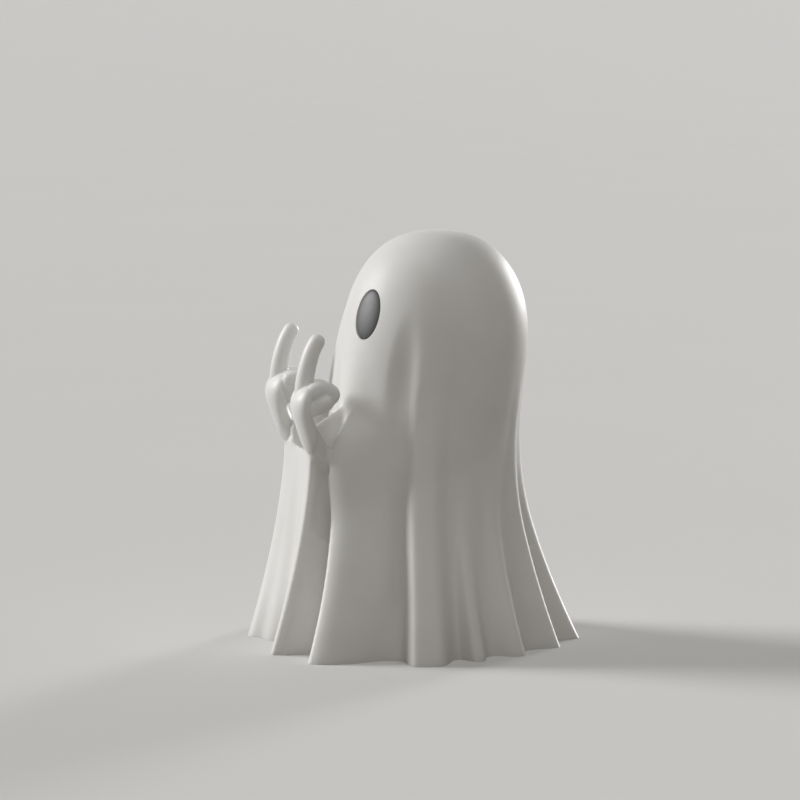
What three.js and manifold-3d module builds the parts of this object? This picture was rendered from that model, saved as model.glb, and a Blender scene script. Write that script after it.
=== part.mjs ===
// Ghost figurine: a bed-sheet ghost that stands on its hem, with two raised hands and two oval eyes.
// Sizes are in millimetres and angles in degrees. +Z is up, the ghost looks along -Y, and its left hand
// is on +X. The origin is the centre of the base. The sheet is a hollow moulding, open below. The hands
// and the eyes are pieces of their own: the wrists plug into the sleeves, the eyes sit in oval pockets.
import * as THREE from "three";
import { mergeVertices } from "three/addons/utils/BufferGeometryUtils.js";
import Module from "manifold-3d";

const wasm = await Module();
wasm.setup();

// The sheet: a domed head that leans back a little, above a skirt that flares to the hem.
const figureHeight = 125;
const sheetWall = 2.6;
const headHalfWidth = 29;
const headHalfDepth = 29.1;
const headRise = 41;
const headSquareness = 2.4;
const headLeanBack = 7.1;
const headWidestHeight = figureHeight - headRise;
const baseShift = 0;
const leanStartHeight = 35;
const leanEndHeight = 112;
const flareStartHeight = 70;
const flareCurve = 1.75;
const flareSide = 8.4;
const flareFront = 10.6;
const flareBack = 15.8;

// The arms: both forearms are raised in front of the chest, and the sheet hangs from them to the floor.
const armSpread = 16.5;
const armReach = 13.9;
const cuffHeight = 63.8;
const cuffHalfWidth = 4.7;
const cuffHalfDepth = 3.1;
const cuffSlant = 42;
const elbowDrop = 14.3;
const elbowHeight = cuffHeight - elbowDrop;
const elbowSpread = 9.8;
const elbowHalfWidth = 3.5;
const elbowHalfDepth = 2.5;
const plugHalfWidth = 2.9;
const plugHalfDepth = 1.9;
const plugDepth = 6.5;
const seatClearance = 0.3;
const apronCrestSpread = 17.2;
const apronCrestLead = 1;
const apronCrestRound = 0.9;
const apronFlare = 11.9;
const apronFlareCurve = 1.6;
const apronValley = 7.2;
const apronWebShare = 0.72;
const apronWebRise = 6.5;
const apronPleat = 0.9;
const apronPanelSplay = 1.4;
const apronLedgeHeight = 37;
const apronLedgeDepth = 1.3;
const apronLowerLedge = 0.3;

// The hands: a fist with its middle finger raised, palm towards the ghost's own face.
const handSpread = 17;
const palmHeight = 17.5;
const palmHalfWidth = 7.2;
const palmHalfDepth = 3.2;
const palmLead = 3.5;
const palmBow = 144;
const fistHalfWidth = 6.3;
const fistHalfDepth = 6.2;
const fistHalfHeight = 5.1;
const fingerPitch = 3.9;
const fingerRadius = 2.4;
const foldedReach = 8;
const littleFingerShare = 0.85;
const raisedLength = 15.5;
const thumbRadius = 2.1;

// The eyes: domed ovals that lie in flat-bottomed pockets.
const eyeAzimuth = 26.5;
const eyeDrop = 23.8;
const eyeHalfWidth = 4.85;
const eyeHalfHeight = 7.4;
const eyeHeight = figureHeight - eyeDrop;
const eyeTilt = 4;
const eyeDome = 1.1;
const eyeEdge = 0.5;
const pocketDepth = 1.7;

// The folds of the hanging sheet. "at" is the azimuth of the crest at the hem, measured from the front
// towards the ghost's left; "out" is how far the crest stands out there, as a share of the fold depth;
// "top" is where the fold begins, as a share of the fold height; "flat" is half the width of a level
// crest; "fore" and "aft" are the fold's widths on either side of its middle; "swing" turns the crest
// higher up.
const foldDepth = 10;
const foldHeight = 100;
const folds = [
  { at: 38.5, out: 1.38, top: 1, flat: 0, fore: 6.5, aft: 27, swing: -42 },
  { at: 79.5, out: 0.96, top: 0.98, flat: 4, fore: 10.5, aft: 16, swing: -10 },
  { at: 101.5, out: 0.6, top: 0.55, flat: 1, fore: 5.5, aft: 9, swing: 2 },
  { at: 122, out: 0.52, top: 0.6, flat: 0, fore: 9, aft: 10, swing: 3 },
  { at: 145, out: 0.48, top: 0.92, flat: 0, fore: 10, aft: 9, swing: 5 },
  { at: 164, out: 0.64, top: 0.84, flat: 0, fore: 10, aft: 14, swing: 2 },
  { at: -38.5, out: 1.38, top: 1, flat: 0, fore: 27, aft: 6.5, swing: 30 },
  { at: -78, out: 0.92, top: 0.96, flat: 3, fore: 15, aft: 10, swing: 9 },
  { at: -98, out: 0.56, top: 0.5, flat: 1, fore: 9, aft: 6, swing: -2 },
  { at: -118, out: 0.6, top: 0.64, flat: 0, fore: 10, aft: 9, swing: -3 },
  { at: -142, out: 0.5, top: 0.86, flat: 0, fore: 10, aft: 10, swing: -5 },
  { at: -166, out: 0.62, top: 0.8, flat: 0, fore: 13, aft: 10, swing: -2 },
];
const foldFade = 1.5;
const swingCurve = 2.5;

// Where each elbow pushes the sheet out from within, just outside the forearm. The cloth is drawn tight
// over it, so it ends sharply at the front, and it fades into the fold below it and the chest above it.
const elbowPush = 5.6;
const elbowPushAt = 31;
const elbowPushFore = 6;
const elbowPushAft = 30;
const elbowPushLow = 48;
const elbowPushCrest = 64;
const elbowPushHigh = 75;

// Shallow dents where the cloth is drawn in beside a fold: "middle" and "reach" are shares of the fold
// height.
const dentDepth = 1.1;
const dents = [
  { azimuth: 59, middle: 0.84, halfAngle: 11, reach: 0.2 },
  { azimuth: -58, middle: 0.82, halfAngle: 11, reach: 0.19 },
];

// How finely the round forms are divided.
const sheetColumns = 150;
const skirtRings = 13;
const domeRings = 8;
const domeLastAngle = 87.5;
const cavityColumns = 40;
const limbSides = 10;
const limbEndTurns = [12, 38, 64];
const eyeSides = 28;

const radians = THREE.MathUtils.degToRad;
const smooth = THREE.MathUtils.smoothstep;
const point = (x, y, z) => new THREE.Vector3(x, y, z);

// A closed surface through rings of points, all with as many points, the first and last ring capped.
function loft(rings) {
  const count = rings[0].length;
  const middle = (ring) => new THREE.Box3().setFromPoints(ring).getCenter(point(0, 0, 0));
  const points = [...rings.flat(), middle(rings[0]), middle(rings.at(-1))];
  const first = points.length - 2;
  const last = points.length - 1;
  const index = [];
  for (let column = 0; column < count; column += 1) {
    const next = (column + 1) % count;
    index.push(first, next, column);
    const top = (rings.length - 1) * count;
    index.push(last, top + column, top + next);
    for (let ring = 0; ring < rings.length - 1; ring += 1) {
      const a = ring * count + column;
      const b = ring * count + next;
      index.push(a, b, b + count, a, b + count, a + count);
    }
  }
  const geometry = new THREE.BufferGeometry().setFromPoints(points);
  return geometry.setIndex(index);
}

// A geometry as a solid that can be joined to others or cut by them.
function solid(geometry) {
  const bare = geometry.clone();
  bare.deleteAttribute("normal");
  bare.deleteAttribute("uv");
  const merged = mergeVertices(bare, 1e-4);
  const vertProperties = merged.attributes.position.array;
  const triVerts = new Uint32Array(merged.index.array);
  return new wasm.Manifold(new wasm.Mesh({ numProp: 3, vertProperties, triVerts }));
}

// A solid as a geometry that a mesh can hold.
function geometryOf(shape) {
  const mesh = shape.getMesh();
  const geometry = new THREE.BufferGeometry();
  geometry.setAttribute("position", new THREE.BufferAttribute(mesh.vertProperties, 3));
  geometry.setIndex(new THREE.BufferAttribute(mesh.triVerts, 1));
  geometry.computeVertexNormals();
  return geometry;
}

// The shape with any void inside it filled. A void is a shell that faces inwards.
function filled(shape) {
  return wasm.Manifold.compose(shape.decompose().filter((shell) => shell.volume() > 0));
}

// How wide the plain sheet, without folds, is at a height, as a share of the head's widest section.
function domeShare(z, inset) {
  const rise = (z - headWidestHeight) / (figureHeight - headWidestHeight - inset);
  if (rise <= 0) return 1;
  return Math.pow(Math.max(0, 1 - Math.pow(Math.min(rise, 1), headSquareness)), 1 / headSquareness);
}

function flareShare(z) {
  return Math.pow(Math.max(0, 1 - z / flareStartHeight), flareCurve);
}

function centreY(z) {
  return baseShift + headLeanBack * smooth(z, leanStartHeight, leanEndHeight);
}

// Distance from the section's centre to the plain sheet, less an inset into its wall.
function plainRadius(azimuth, z, inset = 0) {
  const across = Math.sin(radians(azimuth));
  const along = Math.cos(radians(azimuth));
  const share = domeShare(z, inset);
  const flare = flareShare(z);
  const halfWidth = (headHalfWidth - inset) * share + flareSide * flare;
  const halfDepth = (headHalfDepth - inset) * share + (along > 0 ? flareFront : flareBack) * flare;
  return 1 / Math.hypot(across / halfWidth, along / halfDepth);
}

// How far the folds stand out from the plain sheet.
function foldRise(azimuth, z) {
  let rise = 0;
  for (const fold of folds) {
    const height = z / (fold.top * foldHeight);
    if (height >= 1) continue;
    const crest = fold.at + fold.swing * Math.pow(height, swingCurve);
    const away = THREE.MathUtils.euclideanModulo(azimuth - crest + 180, 360) - 180;
    const width = away < 0 ? fold.fore : fold.aft;
    const across = Math.max(0, Math.abs(away) - fold.flat) / (width - fold.flat);
    if (across >= 1) continue;
    const section = Math.pow(Math.cos((across * Math.PI) / 2), 2);
    rise += foldDepth * fold.out * Math.pow(1 - height, foldFade) * section;
  }
  const beyondElbow = Math.abs(azimuth) - elbowPushAt;
  const reach = Math.min(1, Math.abs(beyondElbow) / (beyondElbow < 0 ? elbowPushFore : elbowPushAft));
  const climb = smooth(z, elbowPushLow, elbowPushCrest) - smooth(z, elbowPushCrest, elbowPushHigh);
  rise += elbowPush * climb * Math.pow(Math.cos((reach * Math.PI) / 2), 2);
  for (const dent of dents) {
    const across = (azimuth - dent.azimuth) / dent.halfAngle;
    const along = (z / foldHeight - dent.middle) / dent.reach;
    rise -= dentDepth * Math.pow(Math.max(0, 1 - across ** 2 - along ** 2), 2);
  }
  return rise;
}

// A point of the sheet. Azimuth 0 is the front, and +90 is the ghost's left side.
function sheetPoint(azimuth, z, inset = 0) {
  const folded = inset > 0 ? 0 : foldRise(azimuth, z);
  const radius = plainRadius(azimuth, z, inset) + folded;
  return point(radius * Math.sin(radians(azimuth)), centreY(z) - radius * Math.cos(radians(azimuth)), z);
}

function sheetRing(z, columns, inset = 0) {
  const ring = [];
  for (let column = 0; column < columns; column += 1) {
    ring.push(sheetPoint((360 * column) / columns - 180, z, inset));
  }
  return ring;
}

// Heights of the rings: closer together near the hem, where the folds deepen, and even round the dome.
function ringHeights(rings, domeSteps, top) {
  const heights = [];
  for (let ring = 0; ring < rings; ring += 1) {
    heights.push(headWidestHeight * Math.pow(ring / rings, 1.15));
  }
  for (let step = 0; step < domeSteps; step += 1) {
    const climb = Math.sin(radians((step / (domeSteps - 1)) * domeLastAngle));
    heights.push(headWidestHeight + (top - headWidestHeight) * Math.pow(climb, 2 / headSquareness));
  }
  return heights;
}

function sheetBlank() {
  const heights = ringHeights(skirtRings, domeRings, figureHeight);
  return solid(loft(heights.map((z) => sheetRing(z, sheetColumns))));
}

// The hollow inside, one wall thickness within the plain sheet and running out through the open hem.
function cavity() {
  const heights = ringHeights(6, 6, figureHeight - sheetWall);
  heights[0] = -1;
  return solid(loft(heights.map((z) => sheetRing(z, cavityColumns, sheetWall))));
}

// The y of the plain sheet's front at some x and z.
function frontY(x, z) {
  const halfWidth = headHalfWidth * domeShare(z, 0) + flareSide * flareShare(z);
  const halfDepth = headHalfDepth * domeShare(z, 0) + flareFront * flareShare(z);
  return centreY(z) - halfDepth * Math.sqrt(Math.max(0, 1 - (x / halfWidth) ** 2));
}

// The left forearm's line: from the elbow, on the inner face of the chest, up and forward to the cuff.
const cuffCentre = point(armSpread, frontY(armSpread, cuffHeight) - armReach, cuffHeight);
const elbowCentre = point(elbowSpread, frontY(elbowSpread, elbowHeight) + sheetWall, elbowHeight);
const armDirection = cuffCentre.clone().sub(elbowCentre).normalize();

// An oval ring square to the forearm, with its long half across the ghost.
function armRing(centre, halfWidth, halfDepth, sides = 24) {
  const up = new THREE.Vector3().crossVectors(armDirection, point(1, 0, 0)).normalize();
  const across = new THREE.Vector3().crossVectors(up, armDirection);
  return Array.from({ length: sides }, (_, side) => {
    const turn = (2 * Math.PI * side) / sides;
    const out = across.clone().multiplyScalar(halfWidth * Math.cos(turn));
    return centre.clone().add(out).addScaledVector(up, halfDepth * Math.sin(turn));
  });
}

const alongArm = (distance) => cuffCentre.clone().addScaledVector(armDirection, distance);

// Everything in front of the cuff plane, where the sleeve ends and the hand begins, moved forward by a
// gap. The plane slants off the forearm's square cut, so that the cuff's opening is a long oval.
function beyondCuff(gap) {
  const size = 20 * cuffHalfWidth;
  const pitch = Math.atan2(armDirection.z, -armDirection.y) - radians(cuffSlant);
  const block = new THREE.BoxGeometry(size, size, size).translate(0, -size / 2 - gap, 0);
  return solid(block.rotateX(-pitch).translate(cuffCentre.x, cuffCentre.y, cuffCentre.z));
}

// The sleeve: a short tapered tube whose end is cut off at the cuff plane.
function sleeve() {
  const beyond = 2 * cuffHalfWidth;
  const tube = solid(
    loft([
      armRing(elbowCentre, elbowHalfWidth, elbowHalfDepth),
      armRing(cuffCentre, cuffHalfWidth, cuffHalfDepth),
      armRing(alongArm(beyond), cuffHalfWidth, cuffHalfDepth),
    ]),
  );
  return tube.subtract(beyondCuff(0));
}

function sleeveSocket() {
  const halfWidth = plugHalfWidth + seatClearance;
  const halfDepth = plugHalfDepth + seatClearance;
  const deep = armRing(alongArm(-plugDepth - seatClearance), halfWidth, halfDepth);
  return solid(loft([deep, armRing(alongArm(3 * cuffHalfWidth), halfWidth, halfDepth)]));
}

// The apron: the part of the sheet that hangs from both forearms. Its front sweeps from a crest under
// each forearm into a valley with two slight pleats. Its sides fall straight. Its top rises in a web
// between the forearms and slopes back under them to the chest.
function apronRing(share) {
  const apronTop = cuffCentre.z - cuffHalfDepth;
  const topSlope = (apronTop - elbowHeight) / (elbowCentre.y - cuffCentre.y);
  const low = Math.pow(1 - share, apronFlareCurve);
  const edge = apronCrestRound;
  const crestY = cuffCentre.y - apronCrestLead - apronFlare * low;
  const crestX = apronCrestSpread - edge;
  const ledge = apronTop * share > apronLedgeHeight ? apronLedgeDepth : apronLowerLedge;
  const panelX = apronCrestSpread + apronPanelSplay * low - ledge;
  const backY = frontY(armSpread, apronTop * share) + sheetWall / 2;
  const front = [0, 0.18, 0.36, 0.52, 0.68, 0.84].map((across) => {
    const wave = (1 + Math.cos(Math.PI * across)) / 2;
    const pleat = apronPleat * low * Math.sin(Math.PI * across) * Math.cos(3 * Math.PI * across);
    return point(crestX * across, crestY + (edge + (apronValley - edge) * low) * wave + pleat, 0);
  });
  const side = [
    point(crestX, crestY, 0),
    point(apronCrestSpread, crestY + edge, 0),
    point(apronCrestSpread, crestY + 2 * edge, 0),
    point(panelX, crestY + 4 * edge, 0),
    point(panelX, THREE.MathUtils.lerp(crestY, backY, 0.7), 0),
    point(panelX - apronLowerLedge, backY, 0),
  ];
  const half = [...front, ...side];
  const mirrored = half.slice(1).reverse().map((p) => point(-p.x, p.y, 0));
  const ring = [...mirrored, ...half];
  for (const p of ring) {
    const across = Math.min(1, Math.abs(p.x) / (apronCrestSpread * apronWebShare));
    const web = (apronWebRise * (1 + Math.cos(Math.PI * across))) / 2;
    p.z = share * (apronTop + web - topSlope * Math.max(0, p.y - cuffCentre.y));
  }
  return ring;
}

function apron() {
  const shares = [0, 0.06, 0.13, 0.21, 0.3, 0.4, 0.5, 0.6, 0.63, 0.75, 0.88, 1];
  return solid(loft(shares.map(apronRing)));
}

// The eye's own frame: its middle on the sheet, z out of the head and y up along the oval's long axis.
function eyeFrame(side) {
  const azimuth = side * eyeAzimuth;
  const middle = sheetPoint(azimuth, eyeHeight);
  const round = sheetPoint(azimuth + 0.5, eyeHeight).sub(sheetPoint(azimuth - 0.5, eyeHeight));
  const rise = sheetPoint(azimuth, eyeHeight + 0.5).sub(sheetPoint(azimuth, eyeHeight - 0.5));
  const outward = new THREE.Vector3().crossVectors(round, rise).normalize();
  const up = rise.normalize().applyAxisAngle(outward, radians(side * eyeTilt));
  const across = new THREE.Vector3().crossVectors(up, outward);
  return new THREE.Matrix4().makeBasis(across, up, outward).setPosition(middle);
}

function oval(halfWidth, halfHeight, low, high) {
  const cylinder = new THREE.CylinderGeometry(1, 1, high - low, eyeSides).rotateX(Math.PI / 2);
  return cylinder.translate(0, 0, (low + high) / 2).scale(halfWidth, halfHeight, 1);
}

function eyePocket(side) {
  const pocket = oval(eyeHalfWidth + seatClearance, eyeHalfHeight + seatClearance, -pocketDepth, 10);
  return solid(pocket.applyMatrix4(eyeFrame(side)));
}

// Material left standing in the hollow behind a pocket, so that the wall there keeps its thickness.
function eyeBoss(side) {
  const rim = seatClearance + sheetWall;
  const boss = oval(eyeHalfWidth + rim, eyeHalfHeight + rim, -pocketDepth - sheetWall, 10);
  return solid(boss.applyMatrix4(eyeFrame(side)));
}

function eyeGeometry() {
  const back = -pocketDepth + seatClearance;
  const front = back + eyeEdge;
  const profile = [new THREE.Vector2(0, back), new THREE.Vector2(1, back)];
  const steps = 6;
  for (let step = 0; step <= steps; step += 1) {
    const turn = (step / steps) * (Math.PI / 2);
    const radius = step === steps ? 0 : Math.cos(turn);
    profile.push(new THREE.Vector2(radius, front + eyeDome * Math.sin(turn)));
  }
  const dome = new THREE.LatheGeometry(profile, eyeSides).rotateX(Math.PI / 2);
  return dome.scale(eyeHalfWidth, eyeHalfHeight, 1);
}

// A round limb along a path, with its own radius at each end and both ends domed.
function limb(path, startRadius, endRadius, steps = 9) {
  const curve = new THREE.CatmullRomCurve3(path, false, "centripetal");
  const length = curve.getLength();
  const from = startRadius / length;
  const to = 1 - endRadius / length;
  const stations = [];
  for (const turn of limbEndTurns) {
    const [ahead, share] = [1 - Math.cos(radians(turn)), Math.sin(radians(turn))];
    stations.push({ along: from * ahead, radius: startRadius * share });
    stations.push({ along: 1 - (1 - to) * ahead, radius: endRadius * share });
  }
  for (let step = 0; step <= steps; step += 1) {
    const share = step / steps;
    const radius = THREE.MathUtils.lerp(startRadius, endRadius, share);
    stations.push({ along: THREE.MathUtils.lerp(from, to, share), radius });
  }
  stations.sort((a, b) => a.along - b.along);
  const rings = stations.map(({ along, radius }) => {
    const centre = curve.getPointAt(along);
    const forward = curve.getTangentAt(along);
    const back = new THREE.Vector3().crossVectors(forward, point(1, 0, 0)).normalize();
    const across = new THREE.Vector3().crossVectors(back, forward);
    return Array.from({ length: limbSides }, (_, side) => {
      const turn = (2 * Math.PI * side) / limbSides;
      const out = across.clone().multiplyScalar(Math.cos(turn)).addScaledVector(back, Math.sin(turn));
      return centre.clone().addScaledVector(out, radius);
    });
  });
  return solid(loft(rings));
}

// The y of the palm's middle at a share of its height: it bows forward, as a sine does over palmBow.
function palmY(share) {
  return cuffCentre.y - palmLead * Math.sin(radians(palmBow * share));
}

// The wrist and palm: oval sections that carry the sleeve's line on and widen to the knuckles.
function palmBlank(grow = 0) {
  const sides = 20;
  const halfWidth = cuffHalfWidth + grow;
  const halfDepth = cuffHalfDepth + grow;
  const rings = [
    armRing(elbowCentre.clone().lerp(cuffCentre, 0.7), halfWidth, halfDepth, sides),
    armRing(alongArm(cuffHalfDepth / 4), halfWidth, halfDepth, sides),
  ];
  const sections = [
    { share: 0.36, width: 0.78, depth: 0.82 },
    { share: 0.52, width: 0.92, depth: 0.94 },
    { share: 0.7, width: 1, depth: 1 },
    { share: 0.84, width: 0.94, depth: 0.82 },
    { share: 0.93, width: 0.8, depth: 0.55 },
    { share: 0.98, width: 0.56, depth: 0.28 },
  ];
  for (const { share, width, depth } of sections) {
    const centre = point(handSpread, palmY(share), cuffHeight + palmHeight * share);
    rings.push(
      Array.from({ length: sides }, (_, side) => {
        const turn = (2 * Math.PI * side) / sides;
        const x = (palmHalfWidth * width + grow) * Math.cos(turn);
        return centre.clone().add(point(x, (palmHalfDepth * depth + grow) * Math.sin(turn), 0));
      }),
    );
  }
  return solid(loft(rings));
}

// The palm ends a seat clearance in front of the cuff, where the plug for the sleeve's socket begins.
function palm() {
  const plug = solid(
    loft([
      armRing(alongArm(-plugDepth), plugHalfWidth, plugHalfDepth),
      armRing(alongArm(cuffHalfDepth), plugHalfWidth, plugHalfDepth),
    ]),
  );
  return palmBlank().intersect(beyondCuff(seatClearance)).add(plug);
}

// The mass of the fist that the folded fingers close round, fuller on the little finger's side.
function fistCore(grow = 0) {
  const halves = [fistHalfWidth, fistHalfDepth, fistHalfHeight].map((half) => half + grow);
  const core = new THREE.SphereGeometry(1, 18, 12).scale(...halves);
  const x = handSpread - fingerPitch * 0.7;
  const z = cuffHeight + palmHeight - fistHalfHeight * 0.9;
  return solid(core.translate(x, palmY(1) + fistHalfDepth * 0.5, z));
}

// The room that the sheet leaves round the hand.
function handRoom() {
  return sleeveSocket().add(palmBlank(seatClearance).intersect(beyondCuff(0))).add(fistCore(seatClearance));
}

// A folded finger: from its knuckle over the top of the fist, round and back under to the palm. Each
// bend is a share of the reach from the knuckles and a drop in finger radii.
function foldedFinger(places, radius, reach) {
  const x = handSpread + places * fingerPitch;
  const z = cuffHeight + palmHeight - fingerRadius * 0.4;
  const bends = [[-0.05, 0.8], [0.36, 0.13], [0.74, 0.3], [0.9, 0.8], [0.8, 1.3], [0.35, 1.5]];
  const path = bends.map(([share, drop]) => point(x, palmY(1) + reach * share, z - radius * drop));
  return limb(path, radius, radius * 0.92, 9);
}

// The raised middle finger, bent back a little. Each bend is a share of its length, back and up.
function raisedFinger() {
  const z = cuffHeight + palmHeight - fingerRadius;
  const bends = [[-0.04, -0.2], [-0.02, 0.2], [0.05, 0.55], [0.15, 0.83], [0.305, 1.09]];
  const path = bends.map(([back, up]) => {
    return point(handSpread, palmY(1) + raisedLength * back, z + raisedLength * up);
  });
  return limb(path, fingerRadius * 1.24, fingerRadius * 0.97, 9);
}

// The thumb, laid along the side of the folded index finger. Each bend is in thumb radii from the side
// of the knuckles: in, back and down.
function thumb() {
  const bends = [[1.7, 0.1, 4.1], [0.9, 0.9, 3.2], [0.5, 1.9, 2.5], [0.7, 3.1, 1.9]];
  const path = bends.map(([inward, back, down]) => {
    const side = handSpread + palmHalfWidth - thumbRadius * inward;
    return point(side, palmY(1) + thumbRadius * back, cuffHeight + palmHeight - thumbRadius * down);
  });
  return limb(path, thumbRadius, thumbRadius * 0.94, 6);
}

// The left hand; the right one is its mirror image.
function hand() {
  const index = foldedFinger(1, fingerRadius, foldedReach);
  const ring = foldedFinger(-1, fingerRadius, foldedReach);
  const little = foldedFinger(-1.7, fingerRadius * littleFingerShare, foldedReach * littleFingerShare);
  const fingers = index.add(ring).add(little).add(raisedFinger()).add(thumb());
  return filled(palm().add(fistCore()).add(fingers));
}

const mirrorX = (shape) => shape.mirror([1, 0, 0]);

function sheetBody() {
  const arm = sleeve();
  const room = handRoom();
  const hollow = cavity().subtract(eyeBoss(1)).subtract(eyeBoss(-1));
  return sheetBlank()
    .add(apron())
    .add(arm)
    .add(mirrorX(arm))
    .subtract(hollow)
    .subtract(room)
    .subtract(mirrorX(room))
    .subtract(eyePocket(1))
    .subtract(eyePocket(-1));
}

const sheetWhite = new THREE.MeshStandardMaterial({ color: 0xe9e6e1, roughness: 0.55, metalness: 0 });
const eyeGrey = new THREE.MeshStandardMaterial({ color: 0x232427, roughness: 0.38, metalness: 0 });

const figurine = new THREE.Group();

function addPiece(name, geometry, material) {
  const mesh = new THREE.Mesh(geometry, material);
  mesh.name = name;
  figurine.add(mesh);
  return mesh;
}

const leftHand = hand();
addPiece("sheet_body", geometryOf(sheetBody()), sheetWhite);
addPiece("left_hand", geometryOf(leftHand), sheetWhite);
addPiece("right_hand", geometryOf(mirrorX(leftHand)), sheetWhite);
for (const [name, side] of [["left_eye", 1], ["right_eye", -1]]) {
  addPiece(name, eyeGeometry(), eyeGrey).applyMatrix4(eyeFrame(side));
}

export default figurine;
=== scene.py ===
# %% [markdown]
# # Ghost figurine
#
# A small desk ghost: a bed sheet thrown over a round head, two raised fists and two dark oval eyes. The
# real one is a hollow moulding about 125 mm tall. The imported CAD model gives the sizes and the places.
# This script gives each piece its finished surface, its material and a place in a small studio.

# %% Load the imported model
import math

import bpy
import numpy as np
from mathutils import Matrix, Vector


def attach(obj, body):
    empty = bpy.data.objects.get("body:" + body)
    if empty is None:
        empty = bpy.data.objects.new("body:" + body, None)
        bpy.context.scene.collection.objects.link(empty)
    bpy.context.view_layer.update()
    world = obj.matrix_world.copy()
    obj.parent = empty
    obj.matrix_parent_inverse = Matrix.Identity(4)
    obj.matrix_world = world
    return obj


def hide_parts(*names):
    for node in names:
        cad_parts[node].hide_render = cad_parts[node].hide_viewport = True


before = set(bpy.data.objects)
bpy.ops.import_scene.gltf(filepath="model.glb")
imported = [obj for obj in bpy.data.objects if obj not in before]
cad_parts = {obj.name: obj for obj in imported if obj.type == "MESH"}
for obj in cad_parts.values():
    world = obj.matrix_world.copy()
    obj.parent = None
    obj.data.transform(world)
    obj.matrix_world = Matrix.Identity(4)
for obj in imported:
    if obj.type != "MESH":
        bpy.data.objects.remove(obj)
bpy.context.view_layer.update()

MM = 0.001

# %% [markdown]
# ## The driving sizes
#
# The sizes are in millimetres and degrees. They are those of the CAD model, apart from a few that a
# comment marks. Every later cell works from them, so that one change reaches every piece that depends on
# it. The ghost looks along -Y, its left hand is on +X, and the floor is at z = 0.

# %% The head and the skirt
# The height is a hair under the CAD model's 125, so that the finished skin keeps inside its box.
figure_height = 124.96
sheet_wall = 2.6
head_half_width = 29
head_half_depth = 29.1
head_widest_height = figure_height - 41
head_squareness = 2.4
head_lean_back = 7.1
lean_start_height = 35
lean_end_height = 112
flare_start_height = 70
flare_curve = 1.75
flare_side = 8.4
flare_front = 10.6
flare_back = 15.8
print("head:", 2 * head_half_width, "mm wide,", figure_height, "mm tall")

# %% The sleeves and the apron
arm_spread = 16.5
arm_reach = 13.9
cuff_height = 63.8
cuff_half_width = 4.7
cuff_half_depth = 3.1
cuff_slant = 42
elbow_height = cuff_height - 14.3
elbow_spread = 9.8
elbow_half_width = 3.5
elbow_half_depth = 2.5
plug_half_width = 2.9
plug_half_depth = 1.9
plug_depth = 6.5

apron_crest_spread = 17.2
apron_crest_lead = 1
apron_crest_round = 0.9
# The apron's skirt flares 0.1 mm less than in the CAD model, to keep inside its box.
apron_flare = 11.8
apron_flare_curve = 1.6
apron_valley = 7.2
apron_web_share = 0.72
apron_web_rise = 6.5
apron_pleat = 0.9
apron_panel_splay = 1.4
apron_ledge_height = 37
apron_ledge_depth = 1.3
apron_lower_ledge = 0.3
apron_ledge_soft = 0.8
print("cuffs:", cuff_height, "mm up, apron:", 2 * apron_crest_spread, "mm wide")

# %% The hands and the eyes
hand_spread = 17
palm_height = 17.5
palm_half_width = 7.2
palm_half_depth = 3.2
palm_lead = 3.5
palm_bow = 144
# The heart of the fist is wider than the CAD model's 6.3, to fill the loops of the folded fingers.
fist_half_width = 6.9
fist_half_depth = 6.2
fist_half_height = 5.1
finger_pitch = 3.9
finger_radius = 2.4
folded_reach = 8
little_finger_share = 0.85
raised_length = 15.5
thumb_radius = 2.1

eye_azimuth = 26.5
eye_height = figure_height - 23.8
eye_half_width = 4.85
eye_half_height = 7.4
eye_tilt = 4
eye_dome = 1.1
eye_edge = 0.5
eye_gap = 0.3
pocket_depth = 1.7
print("eyes:", 2 * eye_half_width, "x", 2 * eye_half_height, "mm,", round(eye_height, 1), "mm up")

# %% The folds
# Each fold: the azimuth of its crest at the hem, how far it stands out and how high it starts as shares
# of the fold depth and height, half the width of a level crest, the widths of its two flanks, and how
# far the crest swings as it climbs.
fold_depth = 10
fold_height = 100
fold_fade = 1.5
swing_curve = 2.5
folds = [
    (38.5, 1.38, 1, 0, 6.5, 27, -42),
    (79.5, 0.96, 0.98, 4, 10.5, 16, -10),
    (101.5, 0.6, 0.55, 1, 5.5, 9, 2),
    (122, 0.52, 0.6, 0, 9, 10, 3),
    (145, 0.48, 0.92, 0, 10, 9, 5),
    (164, 0.64, 0.84, 0, 10, 14, 2),
    (-38.5, 1.38, 1, 0, 27, 6.5, 30),
    (-78, 0.92, 0.96, 3, 15, 10, 9),
    (-98, 0.56, 0.5, 1, 9, 6, -2),
    (-118, 0.6, 0.64, 0, 10, 9, -3),
    (-142, 0.5, 0.86, 0, 10, 10, -5),
    (-166, 0.62, 0.8, 0, 13, 10, -2),
]
# Where each elbow pushes the sheet out: how far, the azimuth, the widths of the two flanks, and the
# heights where it starts, is greatest and ends. It has a narrower front flank and starts lower than in
# the CAD model (6 degrees and 48 mm), which gives the cloth a crisper edge there.
elbow_push = 5.6
elbow_push_at = 31
elbow_push_fore = 4.5
elbow_push_aft = 30
elbow_push_low = 38
elbow_push_crest = 64
elbow_push_high = 75
# The crease behind each front fold is drawn in deeper than in the CAD model: by how much, its azimuth and
# half angle, and the heights where this starts, is full, begins to fade and ends.
groove_depth = 1.9
groove_at = 66
groove_half_angle = 11
groove_start, groove_full, groove_fade, groove_end = 0, 18, 36, 66
# Shallow dents beside a fold: azimuth, middle height, half angle and half height.
dent_depth = 1.1
dents = [(59, 0.84, 11, 0.2), (-58, 0.82, 11, 0.19)]
print("folds:", len(folds))

# %% [markdown]
# ## Small tools
#
# Most forms here are round and hang or grow along a line, so one tool makes them all: it takes rings of
# points, lays a flat grid through them, sews the grid's long sides together and fills both ends. That
# is how a pattern maker would turn a flat piece of felt into a sleeve.

# %% Tools for meshes
# Points closer than this are one point.
weld = 0.002 * MM


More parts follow.
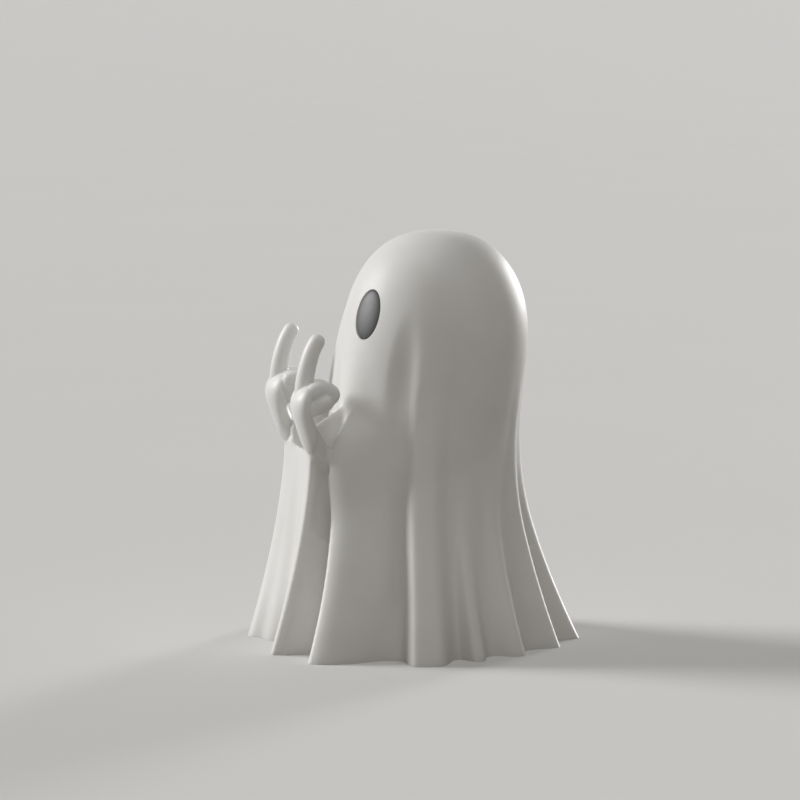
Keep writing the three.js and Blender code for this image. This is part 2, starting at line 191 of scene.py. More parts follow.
def activate(obj):
    bpy.ops.object.select_all(action="DESELECT")
    obj.select_set(True)
    bpy.context.view_layer.objects.active = obj


def apply_modifier(obj, kind, **settings):
    activate(obj)
    modifier = obj.modifiers.new(kind.title(), kind)
    for key, value in settings.items():
        setattr(modifier, key, value)
    bpy.ops.object.modifier_apply(modifier=modifier.name)
    return obj


def tube(name, rings):
    """A closed tube through rings of points in millimetres, an array of rings x points x 3."""
    rows, columns = rings.shape[:2]
    bpy.ops.mesh.primitive_grid_add(x_subdivisions=columns, y_subdivisions=rows - 1)
    obj = bpy.context.object
    obj.name = name
    closed = np.concatenate([rings, rings[:, :1]], axis=1) * MM
    obj.data.vertices.foreach_set("co", closed.reshape(-1).astype(np.float32))
    obj.data.update()
    bpy.ops.object.mode_set(mode="EDIT")
    bpy.ops.mesh.select_all(action="SELECT")
    bpy.ops.mesh.remove_doubles(threshold=weld)
    bpy.ops.mesh.fill_holes(sides=0)
    bpy.ops.mesh.select_all(action="SELECT")
    bpy.ops.mesh.normals_make_consistent(inside=False)
    bpy.ops.object.mode_set(mode="OBJECT")
    return obj


def join(name, objs):
    activate(objs[0])
    for obj in objs:
        obj.select_set(True)
    bpy.ops.object.join()
    joined = bpy.context.object
    joined.name = name
    return joined


def duplicate(obj, name):
    activate(obj)
    bpy.ops.object.duplicate(linked=False)
    copy = bpy.context.object
    copy.name = name
    return copy


def mirrored(obj, name):
    """A copy on the ghost's other side, with its faces turned the right way out again."""
    copy = duplicate(obj, name)
    bpy.ops.object.mode_set(mode="EDIT")
    bpy.ops.mesh.select_all(action="SELECT")
    bpy.ops.transform.resize(value=(-1, 1, 1), center_override=(0, 0, 0))
    bpy.ops.mesh.remove_doubles(threshold=weld)
    bpy.ops.mesh.normals_make_consistent(inside=False)
    bpy.ops.object.mode_set(mode="OBJECT")
    return copy


def cut(obj, cutter, operation="DIFFERENCE"):
    apply_modifier(obj, "BOOLEAN", operation=operation, object=cutter, solver="EXACT")
    bpy.data.objects.remove(cutter)
    return obj


def slice_off(obj, place, normal):
    """Removes what lies on the side that the normal points to, and closes the cut with a flat face.

    The tool's own threshold is as coarse as a tenth of a millimetre here, so a finer one is given.
    """
    activate(obj)
    bpy.ops.object.mode_set(mode="EDIT")
    bpy.ops.mesh.select_all(action="SELECT")
    exact = 0.0001 * MM
    bpy.ops.mesh.bisect(plane_co=place, plane_no=normal, use_fill=True, clear_outer=True, threshold=exact)
    bpy.ops.object.mode_set(mode="OBJECT")
    return obj


def report(obj):
    faces = sum(len(p.vertices) - 2 for p in obj.data.polygons)
    size = [round(v / MM, 1) for v in obj.dimensions]
    print(f"{obj.name}: {faces} triangles, {size} mm")


# %% [markdown]
# ## The form of the sheet
#
# On the real ghost this is the bed sheet, moulded in one shell. It could be a cloth simulation, but a
# moulding has folds that its sculptor chose, so they are written down instead. The sheet hangs from the
# head, so its plain form is a dome above a skirt that flares, and each fold adds a ridge that fades as it
# climbs. One formula gives the outside, the hollow and the places of the arms and eyes, so they agree.

# %% The form of the sheet


def smooth_step(z, low, high):
    share = np.clip((z - low) / (high - low), 0, 1)
    return share * share * (3 - 2 * share)


def centre_y(z):
    return head_lean_back * smooth_step(z, lean_start_height, lean_end_height)


def dome_share(z, inset=0):
    rise = np.clip((z - head_widest_height) / (figure_height - head_widest_height - inset), 0, 1)
    return (1 - rise**head_squareness) ** (1 / head_squareness)


def flare_share(z):
    return np.clip(1 - z / flare_start_height, 0, None) ** flare_curve


def plain_radius(azimuth, z, inset=0):
    across, along = np.sin(np.radians(azimuth)), np.cos(np.radians(azimuth))
    share, flare = dome_share(z, inset), flare_share(z)
    half_width = (head_half_width - inset) * share + flare_side * flare
    flare_along = np.where(along > 0, flare_front, flare_back)
    half_depth = (head_half_depth - inset) * share + flare_along * flare
    return 1 / np.hypot(across / np.maximum(half_width, 1e-6), along / np.maximum(half_depth, 1e-6))


def fold_rise(azimuth, z):
    rise = np.zeros(np.broadcast(azimuth, z).shape)
    for at, out, top, flat, fore, aft, swing in folds:
        height = np.clip(z / (top * fold_height), 0, 1)
        crest = at + swing * height**swing_curve
        away = (azimuth - crest + 180) % 360 - 180
        width = np.where(away < 0, fore, aft)
        across = np.clip((np.abs(away) - flat) / (width - flat), 0, 1)
        section = np.cos(across * math.pi / 2) ** 2
        rise += fold_depth * out * (1 - height) ** fold_fade * section
    from_front = np.abs((azimuth + 180) % 360 - 180)
    beyond = from_front - elbow_push_at
    across = np.clip(np.abs(beyond) / np.where(beyond < 0, elbow_push_fore, elbow_push_aft), 0, 1)
    climb = smooth_step(z, elbow_push_low, elbow_push_crest)
    climb = climb - smooth_step(z, elbow_push_crest, elbow_push_high)
    rise += elbow_push * climb * np.cos(across * math.pi / 2) ** 2
    for at, middle, half_angle, reach in dents:
        across = (azimuth - at) / half_angle
        along = (z / fold_height - middle) / reach
        rise -= dent_depth * np.clip(1 - across**2 - along**2, 0, None) ** 2
    across = np.clip((from_front - groove_at) / groove_half_angle, -1, 1)
    along = smooth_step(z, groove_start, groove_full) - smooth_step(z, groove_fade, groove_end)
    rise -= groove_depth * along * np.cos(across * math.pi / 2) ** 2
    return rise


# %% Points and rings on the sheet


def sheet_point(azimuth, z, inset=0):
    radius = plain_radius(azimuth, z, inset)
    if inset == 0:
        radius = radius + fold_rise(azimuth, z)
    x = radius * np.sin(np.radians(azimuth))
    y = centre_y(z) - radius * np.cos(np.radians(azimuth))
    return np.stack([x, y, np.broadcast_to(z, x.shape)], axis=-1)


def sheet_rings(columns, skirt_rows, dome_rows, low, inset=0):
    """Rings from below the hem, closer together near the floor, and evenly round the dome."""
    top = figure_height - inset
    crowding = 1.1
    skirt = low + (head_widest_height - low) * np.linspace(0, 1, skirt_rows, endpoint=False) ** crowding
    climb = np.sin(np.radians(np.linspace(0, 90, dome_rows)))
    dome = head_widest_height + (top - head_widest_height) * climb ** (2 / head_squareness)
    azimuth = np.linspace(-180, 180, columns, endpoint=False)
    return sheet_point(azimuth[None, :], np.concatenate([skirt, dome])[:, None], inset)


def front_y(x, z):
    half_width = head_half_width * dome_share(z) + flare_side * flare_share(z)
    half_depth = head_half_depth * dome_share(z) + flare_front * flare_share(z)
    return centre_y(z) - half_depth * np.sqrt(np.clip(1 - (x / half_width) ** 2, 0, None))


# %% The blank of the sheet
# Below the hem the forms run on a little, and one flat cut at the floor then trims them all.
below_hem = -3
blank = tube("sheet_blank", sheet_rings(columns=440, skirt_rows=150, dome_rows=70, low=below_hem))
report(blank)

# %% [markdown]
# ## The sleeves
#
# Both forearms are raised under the sheet. Each is a short oval tube from inside the chest to the cuff.
# It could be pulled out of the sheet by an extrusion, but a tube of its own keeps its oval section, and
# the remesh below makes one skin of both. The left one is made, and the right one is its mirror image.

# %% Where the forearms run
cuff_centre = np.array([arm_spread, front_y(arm_spread, cuff_height) - arm_reach, cuff_height])
elbow_y = front_y(elbow_spread, elbow_height) + sheet_wall
elbow_centre = np.array([elbow_spread, elbow_y, elbow_height])
arm_direction = (cuff_centre - elbow_centre) / np.linalg.norm(cuff_centre - elbow_centre)
arm_up = np.cross(arm_direction, [1, 0, 0])
arm_up /= np.linalg.norm(arm_up)
arm_across = np.cross(arm_up, arm_direction)


def oval(centre, across, up, half_width, half_depth, sides=64):
    turn = np.linspace(0, 2 * math.pi, sides, endpoint=False)[:, None]
    return centre + across * half_width * np.cos(turn) + up * half_depth * np.sin(turn)


def arm_ring(centre, half_width, half_depth):
    return oval(centre, arm_across, arm_up, half_width, half_depth)


def along_arm(distance):
    return cuff_centre + arm_direction * distance


# The cuff plane slants off the forearm's square cut.
cuff_pitch = math.atan2(arm_direction[2], -arm_direction[1]) - math.radians(cuff_slant)
cuff_normal = np.array([0, -math.cos(cuff_pitch), math.sin(cuff_pitch)])

# %% The left and the right sleeve
sleeve_steps = 24
sleeve_rings = []
for share in np.linspace(0, 1, sleeve_steps):
    centre = elbow_centre + (cuff_centre - elbow_centre) * share
    half_width = elbow_half_width + (cuff_half_width - elbow_half_width) * share
    half_depth = elbow_half_depth + (cuff_half_depth - elbow_half_depth) * share
    sleeve_rings.append(arm_ring(centre, half_width, half_depth))
for distance in np.linspace(0, 2 * cuff_half_width, 12)[1:]:
    sleeve_rings.append(arm_ring(along_arm(distance), cuff_half_width, cuff_half_depth))
left_sleeve = tube("left_sleeve", np.array(sleeve_rings))
sleeve_overrun = 0.6
sleeve_end = Vector(cuff_centre + cuff_normal * sleeve_overrun) * MM
slice_off(left_sleeve, sleeve_end, Vector(cuff_normal))
right_sleeve = mirrored(left_sleeve, "right_sleeve")
report(left_sleeve)

# %% [markdown]
# ## The lips beside the wrists
#
# On the real ghost the mouth of each sleeve folds back beside the wrist. Here that is a thin fall of
# cloth from behind the wrist to the chest, which shades the space next to the hand. The CAD model has no
# such lip, because it is a small, soft form.

# %% The left and the right lip
lip_x = 11
lip_half_width = 1.3
lip_low = elbow_height
lip_rise_at_wrist = 3
lip_rise_to_chest = 8
lip_overlap = 1
lip_front = cuff_centre[1]
lip_back = front_y(lip_x, cuff_height) + lip_overlap
east, north, upward = np.array([1, 0, 0]), np.array([0, 1, 0]), np.array([0, 0, 1])
lip_rings = []
for share in np.linspace(0, 1, sleeve_steps):
    lip_top = cuff_height + lip_rise_at_wrist + lip_rise_to_chest * share
    centre = np.array([lip_x, lip_front + (lip_back - lip_front) * share, (lip_low + lip_top) / 2])
    lip_rings.append(oval(centre, east, upward, lip_half_width, (lip_top - lip_low) / 2))
left_lip = tube("left_lip", np.array(lip_rings))
right_lip = mirrored(left_lip, "right_lip")
report(left_lip)

# %% [markdown]
# ## The apron
#
# The cloth between the forearms hangs straight down as an apron. Its outline is drawn once for each
# height: a soft valley between two rounded crests, straight sides, and a back that stays inside the
# chest. A plain box would do for the bulk, but not for the crests, which are the crisp edges that the
# side view shows.

# %% The apron
apron_top = cuff_centre[2] - cuff_half_depth
apron_slope = (apron_top - elbow_height) / (elbow_centre[1] - cuff_centre[1])


def apron_ring(share):
    low = (1 - share) ** apron_flare_curve
    edge = apron_crest_round
    crest_y = cuff_centre[1] - apron_crest_lead - apron_flare * low
    crest_x = apron_crest_spread - edge
    ledge_low, ledge_high = apron_ledge_height - apron_ledge_soft, apron_ledge_height + apron_ledge_soft
    above_ledge = smooth_step(apron_top * share, ledge_low, ledge_high)
    ledge = apron_lower_ledge + (apron_ledge_depth - apron_lower_ledge) * above_ledge
    panel_x = apron_crest_spread + apron_panel_splay * low - ledge
    back_y = front_y(arm_spread, max(0, apron_top * share)) + sheet_wall / 2
    across = np.linspace(0, 1, 36)
    wave = (1 + np.cos(math.pi * across)) / 2
    pleat = apron_pleat * low * np.sin(math.pi * across) * np.cos(3 * math.pi * across)
    front_x = crest_x * across
    front = crest_y + (edge + (apron_valley - edge) * low) * wave + pleat
    turn = np.radians(np.linspace(0, 90, 8))[1:]
    corner_x = crest_x + edge * np.sin(turn)
    corner = crest_y + edge - edge * np.cos(turn)
    side_x = [apron_crest_spread] * 4 + list(np.linspace(apron_crest_spread, panel_x, 8)[1:])
    side = list(np.linspace(crest_y + edge, crest_y + 2 * edge, 5)[1:])
    side += list(np.linspace(crest_y + 2 * edge, crest_y + 4 * edge, 8)[1:])
    side_x += [panel_x] * 30
    side += list(np.linspace(crest_y + 4 * edge, back_y, 31)[1:])
    half_x = np.concatenate([front_x, corner_x, side_x])
    half_y = np.concatenate([front, corner, side])
    x = np.concatenate([half_x, -half_x[:0:-1]])
    y = np.concatenate([half_y, half_y[:0:-1]])
    near = np.clip(np.abs(x) / (apron_crest_spread * apron_web_share), 0, 1)
    web = apron_web_rise * (1 + np.cos(math.pi * near)) / 2
    z = share * (apron_top + web - apron_slope * np.clip(y - cuff_centre[1], 0, None))
    return np.stack([x, y, z], axis=-1)


apron_overrun = 0.05
apron_rows = 84
apron = tube("apron", np.array([apron_ring(share) for share in np.linspace(-apron_overrun, 1, apron_rows)]))
report(apron)

# %% [markdown]
# ## One skin
#
# A sculptor pushes the pieces together in clay and runs a thumb along the joins. The voxel remesh makes
# one skin round the blank, the sleeves, the lips and the apron, and a few rounds of smoothing soften the
# creases. A boolean union would keep every join sharp. The voxel is as small as the limit on triangles
# lets it be. The hem is trimmed afterwards, so that it stays a clean flat edge.

# %% Join and smooth the sheet
sheet = join("draped_sheet", [blank, apron, left_sleeve, right_sleeve, left_lip, right_lip])
skin_voxel = 0.73
apply_modifier(sheet, "REMESH", mode="VOXEL", voxel_size=skin_voxel * MM, use_smooth_shade=True)
apply_modifier(sheet, "SMOOTH", factor=0.5, iterations=3)
slice_off(sheet, (0, 0, 0), (0, 0, -1))
report(sheet)

# %% [markdown]
# ## The hands
#
# Each hand is a fist with one finger raised. It is built like a clay model: an oval palm that carries
# the forearm's line on, a round core, and fingers rolled as tapering sausages with round ends. The same
# remesh and smoothing press them together.

# %% Tools for limbs


def path_points(bends, count):
    """Evenly spaced points and directions on a smooth curve through the bends."""
    bends = np.asarray(bends, float)
    gaps = np.sqrt(np.linalg.norm(np.diff(bends, axis=0), axis=1))
    knots = np.concatenate([[0], np.cumsum(gaps)])
    ends = [2 * bends[0] - bends[1], *bends, 2 * bends[-1] - bends[-2]]
    slopes = []
    for i in range(len(bends)):
        before = gaps[max(0, i - 1)]
        after = gaps[min(len(gaps) - 1, i)]
        rise = (ends[i + 1] - ends[i]) / before * after + (ends[i + 2] - ends[i + 1]) / after * before
        slopes.append(rise / (before + after))
    fine = []
    for i in range(len(bends) - 1):
        t = np.linspace(0, 1, 40, endpoint=False)[:, None]
        step = knots[i + 1] - knots[i]
        a = (2 * t**3 - 3 * t**2 + 1) * bends[i] + (t**3 - 2 * t**2 + t) * step * slopes[i]
        b = (3 * t**2 - 2 * t**3) * bends[i + 1] + (t**3 - t**2) * step * slopes[i + 1]
        fine.append(a + b)
    fine = np.concatenate(fine + [bends[-1:]])
    length = np.concatenate([[0], np.cumsum(np.linalg.norm(np.diff(fine, axis=0), axis=1))])
    at = np.linspace(0, length[-1], count)
    points = np.stack([np.interp(at, length, fine[:, i]) for i in range(3)], axis=-1)
    directions = np.gradient(points, axis=0)
    return points, directions / np.linalg.norm(directions, axis=1)[:, None], at


def eased(rings, count):
    """More rings along the same body, with the corners between the given ones eased away."""
    at = np.linspace(0, len(rings) - 1, count)
    low = np.minimum(at.astype(int), len(rings) - 2)
    part = (at - low)[:, None, None]
    fine = rings[low] * (1 - part) + rings[low + 1] * part
    for _ in range(12):
        fine[1:-1] = (fine[:-2] + 2 * fine[1:-1] + fine[2:]) / 4
    return fine


def limb(name, bends, start_radius, end_radius):
    """A round limb along a path that tapers from one radius to the other, with a dome at each end."""
    points, directions, at = path_points(bends, 60)
    share = at / at[-1]
    radius = start_radius + (end_radius - start_radius) * share
    start = np.clip(at / start_radius, 0, 1)
    end = np.clip((at[-1] - at) / end_radius, 0, 1)
    radius = radius * np.sqrt(1 - (1 - start) ** 2) * np.sqrt(1 - (1 - end) ** 2)
    rings = []
    for centre, direction, r in zip(points, directions, radius):
        back = np.cross(direction, [1, 0, 0])
        back /= np.linalg.norm(back)
        rings.append(oval(centre, np.cross(back, direction), back, r, r, sides=28))
    return tube(name, np.array(rings))


# %% The palm


def palm_y(share):
    return cuff_centre[1] - palm_lead * math.sin(math.radians(palm_bow * share))


knuckles = np.array([hand_spread, palm_y(1), cuff_height + palm_height])

palm_rings = [
    arm_ring(elbow_centre + (cuff_centre - elbow_centre) * share, cuff_half_width, cuff_half_depth)
    for share in np.linspace(0.7, 1, 8)
]
palm_rings.append(arm_ring(along_arm(cuff_half_depth / 4), cuff_half_width, cuff_half_depth))
palm_sections = [
    (0.36, 0.78, 0.82),
    (0.52, 0.92, 0.94),
    (0.7, 1, 1),
    (0.84, 0.94, 0.82),
    (0.93, 0.8, 0.55),
    (0.98, 0.56, 0.28),
]
for share, width, depth in palm_sections:
    centre = np.array([hand_spread, palm_y(share), cuff_height + palm_height * share])
    palm_rings.append(oval(centre, east, north, palm_half_width * width, palm_half_depth * depth))
palm = tube("palm", eased(np.array(palm_rings), count=70))
report(palm)

# %% The core of the fist
bpy.ops.mesh.primitive_uv_sphere_add(segments=48, ring_count=24, radius=1)
core = bpy.context.object
core.scale = Vector((fist_half_width, fist_half_depth, fist_half_height)) * MM
core_x = hand_spread - finger_pitch * 0.4
core_y = palm_y(1) + fist_half_depth * 0.5
core_z = cuff_height + palm_height - fist_half_height * 0.9
core.location = Vector((core_x, core_y, core_z)) * MM
bpy.ops.object.transform_apply(location=True, rotation=True, scale=True)
report(core)

# %% The fingers


def folded_finger(name, places, radius, reach):
    """Over the top of the fist, round and back under. Bends are (share of reach back, radii down)."""
    bends = [(-0.05, 0.8), (0.36, 0.13), (0.74, 0.3), (0.9, 0.8), (0.8, 1.3), (0.2, 1.5)]
    top = knuckles + np.array([places * finger_pitch, 0, -finger_radius * 0.4])
    path = [top + np.array([0, reach * back, -radius * down]) for back, down in bends]
    return limb(name, path, radius, radius * 0.92)


raised_bends = [(-0.04, -0.2), (-0.02, 0.2), (0.05, 0.55), (0.15, 0.83), (0.305, 1.09)]
raised_root = knuckles - np.array([0, 0, finger_radius])
raised_path = [raised_root + raised_length * np.array([0, back, up]) for back, up in raised_bends]
thumb_bends = [(1.7, 0.1, 4.1), (0.9, 0.9, 3.2), (0.5, 1.9, 2.5), (0.7, 3.1, 1.9)]
thumb_root = knuckles + np.array([palm_half_width, 0, 0])
thumb_path = [thumb_root + thumb_radius * np.array([-side, back, -down]) for side, back, down in thumb_bends]
fingers = [
    folded_finger("index", 1, finger_radius, folded_reach),
    folded_finger("ring", -1, finger_radius, folded_reach),
    folded_finger("little", -1.7, finger_radius * little_finger_share, folded_reach * little_finger_share),
    limb("raised", raised_path, finger_radius * 1.24, finger_radius * 0.97),
    limb("thumb", thumb_path, thumb_radius, thumb_radius * 0.94),
]
print("limbs:", [finger.name for finger in fingers])

# %% [markdown]
# ## The wrist
#
# The wrist is cut flat where it meets the sleeve, and has a plug that goes into it. One long plane would
# also cut the folded fingers that reach behind it, so a block does the cutting and ends below them.

# %% Press the hand together and cut its wrist
hand_voxel = 0.25
left_hand = join("left_fist", [palm, core, *fingers])
apply_modifier(left_hand, "REMESH", mode="VOXEL", voxel_size=hand_voxel * MM, use_smooth_shade=True)
apply_modifier(left_hand, "SMOOTH", factor=0.5, iterations=8)

# The line that shows between hand and sleeve is finer than the CAD clearance, because it is glued.
glue_line = 0.1
seat_half = 7
bpy.ops.mesh.primitive_cube_add(size=2 * seat_half * MM)
seat_block = bpy.context.object
seat_block.rotation_euler = (-cuff_pitch, 0, 0)
seat_block.location = Vector(cuff_centre + cuff_normal * (glue_line - seat_half)) * MM
bpy.ops.object.transform_apply(location=True, rotation=True, scale=True)
cut(left_hand, seat_block)
plug_ends = [along_arm(distance) for distance in (-plug_depth, cuff_half_depth)]
plug = tube("plug", np.array([arm_ring(end, plug_half_width, plug_half_depth) for end in plug_ends]))
cut(left_hand, plug, "UNION")
right_hand = mirrored(left_hand, "right_fist")
report(left_hand)

# %% [markdown]
# ## The hollow, the sockets and the eye pockets
#
# The real shell is moulded hollow and open at the hem. The hollow follows the plain sheet one wall
# thickness inside it. A copy of each hand, swollen by the glue line and made one clean skin again, cuts
# its own seat and socket in the sleeve, so that the two always fit. Each eye gets an oval pocket with a
# lip that is rounded a little, and the wall is thicker behind it.

# %% The places of the eyes


def eye_frame(side):
    """The eye's own frame: its middle on the sheet, z out of the head and y along the oval."""
    azimuth = side * eye_azimuth
    middle = sheet_point(azimuth, eye_height)
    round_head = sheet_point(azimuth + 0.5, eye_height) - sheet_point(azimuth - 0.5, eye_height)
    rise = Vector(sheet_point(azimuth, eye_height + 0.5) - sheet_point(azimuth, eye_height - 0.5))
    outward = Vector(round_head).cross(rise).normalized()
    up = Matrix.Rotation(math.radians(side * eye_tilt), 3, outward) @ rise.normalized()
    across = up.cross(outward)
    turn = Matrix((across, up, outward)).transposed().to_4x4()
    return Matrix.Translation(Vector(middle) * MM) @ turn


def lathe_oval(name, profile, side, sides=96):
    """An oval turned from (radius share, height, extra radius) steps, put in the eye's frame."""
    turn = np.linspace(0, 2 * math.pi, sides, endpoint=False)
    rings = []
    for share, height, extra in profile:
        x = (eye_half_width + extra) * share * np.cos(turn)
        y = (eye_half_height + extra) * share * np.sin(turn)
        rings.append(np.stack([x, y, np.full(sides, height)], axis=-1))
    obj = tube(name, np.array(rings))
    obj.data.transform(eye_frame(side))
    return obj


# %% Cut the hollow
hollow_rings = sheet_rings(columns=160, skirt_rows=60, dome_rows=30, low=2 * below_hem, inset=sheet_wall)
hollow = tube("hollow", hollow_rings)
boss_high = 10
boss_low = -pocket_depth - sheet_wall
boss_rim = eye_gap + sheet_wall
for side in (1, -1):
    cut(hollow, lathe_oval("boss", [(1, boss_low, boss_rim), (1, boss_high, boss_rim)], side))
cut(sheet, hollow)
report(sheet)

# %% Cut the seats of the hands
seat_voxel = 0.3
for hand in (left_hand, right_hand):
    swollen = duplicate(hand, "swollen")
    apply_modifier(swollen, "DISPLACE", strength=glue_line * MM, mid_level=0)
    apply_modifier(swollen, "REMESH", mode="VOXEL", voxel_size=seat_voxel * MM)
    cut(sheet, swollen)
report(sheet)

# %% Cut the pockets of the eyes
pocket_profile = [
    (1, -pocket_depth, eye_gap),
    (1, -0.75, eye_gap),
    (1, -0.45, eye_gap + 0.05),
    (1, -0.2, eye_gap + 0.18),
    (1, 0.1, eye_gap + 0.5),
    (1, 6, eye_gap + 7),
]
for side in (1, -1):
    cut(sheet, lathe_oval("pocket", pocket_profile, side))
report(sheet)

# %% [markdown]
# ## The eyes
#
# Each eye is a domed oval cabochon with a flat back, dropped into its pocket. It could be a scaled sphere
# that is cut flat, but a turned profile also gives it a straight rim that fits the pocket. The dome is
# a quarter circle that is flattened.

# %% The eyes
back = -pocket_depth + eye_gap
rim = back + eye_edge
dome_profile = [(0, back, 0), (0.9, back, 0), (1, back + 0.1, 0)]
dome_profile += [(math.cos(a), rim + eye_dome * math.sin(a), 0) for a in np.radians(np.linspace(0, 90, 24))]
eyes = [lathe_oval("left_eye_dome", dome_profile, 1), lathe_oval("right_eye_dome", dome_profile, -1)]
for eye in eyes:
    activate(eye)
    bpy.ops.object.shade_smooth_by_angle(angle=math.radians(40))
    report(eye)

# %% Smooth shading with crisp cut edges
for piece in (sheet, left_hand, right_hand):
    activate(piece)
    bpy.ops.object.shade_smooth_by_angle(angle=math.radians(50))
print("shaded smooth:", sheet.name, left_hand.name, right_hand.name)

# %% [markdown]
# ## Materials
#
# The shell and the hands are the same satin white moulding: a warm white, a faint orange peel from the
# mould and slightly uneven gloss. A little light goes into such a moulding and comes out near by, which
# softens its shadows. The eyes are satin dark grey. A picture could carry these marks, but noise on
# object coordinates has no seam and stays with the piece. A small class lets the shader maths be written
# as sums.

# %% Shader maths written as sums


class Wire:
    """A socket of a material, which can be added, multiplied and passed to other nodes."""

    def __init__(self, tree, socket):
        self.tree, self.socket = tree, socket

    def node(self, kind, settings=None, inputs=None, output=0):
        made = self.tree.nodes.new(kind)
        for key, value in (settings or {}).items():
            setattr(made, key, value)
        for key, value in (inputs or {}).items():
            if isinstance(value, Wire):
                self.tree.links.new(value.socket, made.inputs[key])
            else:
                made.inputs[key].default_value = value
        return Wire(self.tree, made.outputs[output])

    def maths(self, operation, a, b):
        return self.node("ShaderNodeMath", {"operation": operation}, {0: a, 1: b})

    def __add__(self, other):
        return self.maths("ADD", self, other)

    def __radd__(self, other):
        return self.maths("ADD", other, self)

    def __sub__(self, other):
        return self.maths("SUBTRACT", self, other)

    def __rsub__(self, other):
        return self.maths("SUBTRACT", other, self)

    def __mul__(self, other):
        return self.maths("MULTIPLY", self, other)

    def __rmul__(self, other):
        return self.maths("MULTIPLY", other, self)

    def noise(self, scale, detail=2):
        return self.node("ShaderNodeTexNoise", None, {"Vector": self, "Scale": scale, "Detail": detail})

    def ramp(self, low, high):
        inputs = {"Value": self, "From Min": low, "From Max": high}
        return self.node("ShaderNodeMapRange", {"interpolation_type": "SMOOTHSTEP"}, inputs)

    def mix(self, first, second):
        inputs = {0: self, 6: first, 7: second}
        return self.node("ShaderNodeMix", {"data_type": "RGBA"}, inputs, output=2)


def new_material(name):
    material = bpy.data.materials.new(name)
    material.use_nodes = True
    tree = material.node_tree
    shader = tree.nodes["Principled BSDF"]
    place = Wire(tree, tree.nodes.new("ShaderNodeTexCoord").outputs["Object"])
    return material, shader, place


def connect(shader, name, wire):
    wire.tree.links.new(wire.socket, shader.inputs[name])


# %% The white moulding
# Painted reflection: up to this height the white is painted darker and a little warmer towards the floor, as
# if a brown table were mirrored in it.
hem_reflection_height = 0.016
hem_reflection_darkening = 0.86


def moulding(name, white, shade, roughness):
    material, shader, place = new_material(name)
    broad = place.noise(45, 3)
    fine = place.noise(900, 2)
    ripple = place.noise(160, 2)
    tone = broad.ramp(0.35, 0.7)
    height = place.node("ShaderNodeSeparateXYZ", None, {0: place}, output=2)
    # Painted reflection at the hem: an uneven darker, warmer band that fades out upwards.
    painted_hem_reflection = (1 - height.ramp(0, hem_reflection_height)) * (0.25 + 0.5 * broad)
    hem_reflection_colour = tuple(hem_reflection_darkening * v for v in shade[:3]) + (1,)
    connect(shader, "Base Color", painted_hem_reflection.mix(tone.mix(white, shade), hem_reflection_colour))
    connect(shader, "Roughness", roughness + 0.12 * (ripple - 0.5) + 0.06 * (broad - 0.5))
    relief = 0.35 * fine + 0.65 * ripple
    inputs = {"Strength": 0.12, "Distance": 0.15 * MM, "Height": relief}
    connect(shader, "Normal", place.node("ShaderNodeBump", None, inputs))
    shader.inputs["IOR"].default_value = 1.46
    shader.inputs["Subsurface Weight"].default_value = 0.28
    shader.inputs["Subsurface Radius"].default_value = (1, 1, 1)
    shader.inputs["Subsurface Scale"].default_value = 7 * MM
    return material


sheet_white = moulding("sheet_white", (0.78, 0.775, 0.755, 1), (0.745, 0.735, 0.71, 1), 0.48)
hand_white = moulding("hand_white", (0.785, 0.785, 0.77, 1), (0.755, 0.75, 0.73, 1), 0.46)
print("mouldings:", sheet_white.name, hand_white.name)

# %% The grey of the eyes
eye_grey, eye_shader, eye_place = new_material("eye_grey")
eye_cloud = eye_place.noise(350, 3)
connect(eye_shader, "Base Color", eye_cloud.mix((0.075, 0.075, 0.078, 1), (0.1, 0.1, 0.102, 1)))
connect(eye_shader, "Roughness", 0.5 + 0.1 * (eye_cloud - 0.5))
eye_bump = {"Strength": 0.06, "Distance": 0.1 * MM, "Height": eye_place.noise(1200, 1)}
connect(eye_shader, "Normal", eye_place.node("ShaderNodeBump", None, eye_bump))
print("eyes:", eye_grey.name)

# %% Dress the pieces
# Each finished piece takes the place of its CAD node, rides on the one body and gets its material slot.
dressed = [
    (sheet, "sheet_body", "sheet", sheet_white),
    (left_hand, "left_hand", "hand", hand_white),
    (right_hand, "right_hand", "hand", hand_white),
    (eyes[0], "left_eye", "eye", eye_grey),
    (eyes[1], "right_eye", "eye", eye_grey),
]
for piece, node, slot, material in dressed:
    piece.data.materials.clear()
    piece.data.materials.append(material)
    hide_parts(node)
    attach(piece, "root")
print("dressed:", [node for _, node, _, _ in dressed])

# %% [markdown]
# ## The studio
#
# A pale floor runs out of the picture. Four soft suns light the ghost evenly from head to hem, which
# lamps near by would not: a key light from its front on the right, a weak top light, a weak fill from the
# left and a rim light from behind. A low warm light fills the shadows. The camera stands round to the
# ghost's left, as in the photograph.

# %% The floor


def background_rays(tree):
    """1 where the background is looked at, straight, in a reflection or through glass, and else 0."""
    path = tree.nodes.new("ShaderNodeLightPath")
    camera, glossy, through = [
        Wire(tree, path.outputs[name]) for name in ("Is Camera Ray", "Is Glossy Ray", "Is Transmission Ray")
    ]
    return camera.maths("MAXIMUM", camera, glossy.maths("MAXIMUM", glossy, through))


floor_size = 60
bpy.ops.mesh.primitive_plane_add(size=floor_size, location=(0, 0, 0))
floor = bpy.context.object
floor.name = "studio_floor"
floor_material, floor_shader, floor_place = new_material("floor_pale")
floor_cloud = floor_place.noise(6, 2)
floor_pale = floor_cloud.mix((0.69, 0.685, 0.675, 1), (0.71, 0.705, 0.695, 1))
seen = background_rays(floor_place.tree)
connect(floor_shader, "Base Color", seen.mix((0.4, 0.385, 0.37, 1), floor_pale))
floor_shader.inputs["Roughness"].default_value = 0.8
floor.data.materials.append(floor_material)
print("floor:", floor_size, "m wide")

# %% The suns
chest = Vector((0, 0, 0.06))


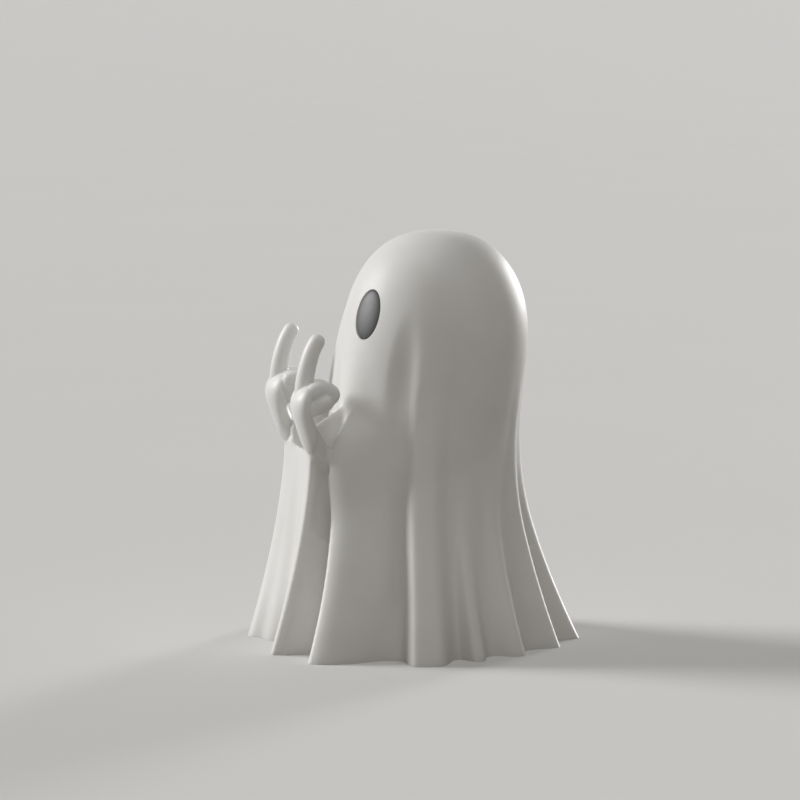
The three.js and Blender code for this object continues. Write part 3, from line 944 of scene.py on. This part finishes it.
def add_sun(name, strength, azimuth, elevation, softness):
    """A sun that stands at an azimuth round from the ghost's front and looks at its chest."""
    sun = bpy.data.lights.new(name, "SUN")
    sun.energy = strength
    sun.angle = math.radians(softness)
    obj = bpy.data.objects.new(name, sun)
    bpy.context.scene.collection.objects.link(obj)
    turn, climb = math.radians(azimuth), math.radians(elevation)
    away = Vector((math.sin(turn) * math.cos(climb), -math.cos(turn) * math.cos(climb), math.sin(climb)))
    obj.location = chest + away
    obj.rotation_euler = away.to_track_quat("Z", "Y").to_euler()
    print("sun:", name, strength)


add_sun("key", strength=2.45, azimuth=-30, elevation=24, softness=22)
add_sun("top", strength=0.65, azimuth=100, elevation=74, softness=50)
add_sun("fill", strength=0.14, azimuth=60, elevation=14, softness=30)
add_sun("rim", strength=1.8, azimuth=222, elevation=8, softness=14)

# %% The low light all round and the backdrop
world = bpy.data.worlds.new("studio")
bpy.context.scene.world = world
world.use_nodes = True
world.node_tree.nodes.clear()
ray = background_rays(world.node_tree)
ambient = ray.node("ShaderNodeBackground", None, {"Color": (1, 0.92, 0.83, 1), "Strength": 0.135})
backdrop = ray.node("ShaderNodeBackground", None, {"Color": (0.62, 0.615, 0.605, 1), "Strength": 1})
shown = ray.node("ShaderNodeMixShader", None, {0: ray, 1: ambient, 2: backdrop})
world_output = world.node_tree.nodes.new("ShaderNodeOutputWorld")
world.node_tree.links.new(shown.socket, world_output.inputs["Surface"])
print("backdrop:", world.name)

# %% The camera
camera_data = bpy.data.cameras.new("camera")
camera_data.sensor_width = 36
camera_data.lens = 161.1
camera_data.clip_end = 50
camera = bpy.data.objects.new("camera", camera_data)
bpy.context.scene.collection.objects.link(camera)
camera.location = (1.0433, -0.2801, 0.2080)
heading, pitch = math.radians(75.2), math.radians(7.11)
camera.rotation_euler = (math.pi / 2 - pitch, 0, heading)
bpy.context.scene.camera = camera
bpy.context.scene.view_settings.view_transform = "Standard"
print("camera:", [round(v, 3) for v in camera.location], "lens", camera_data.lens)
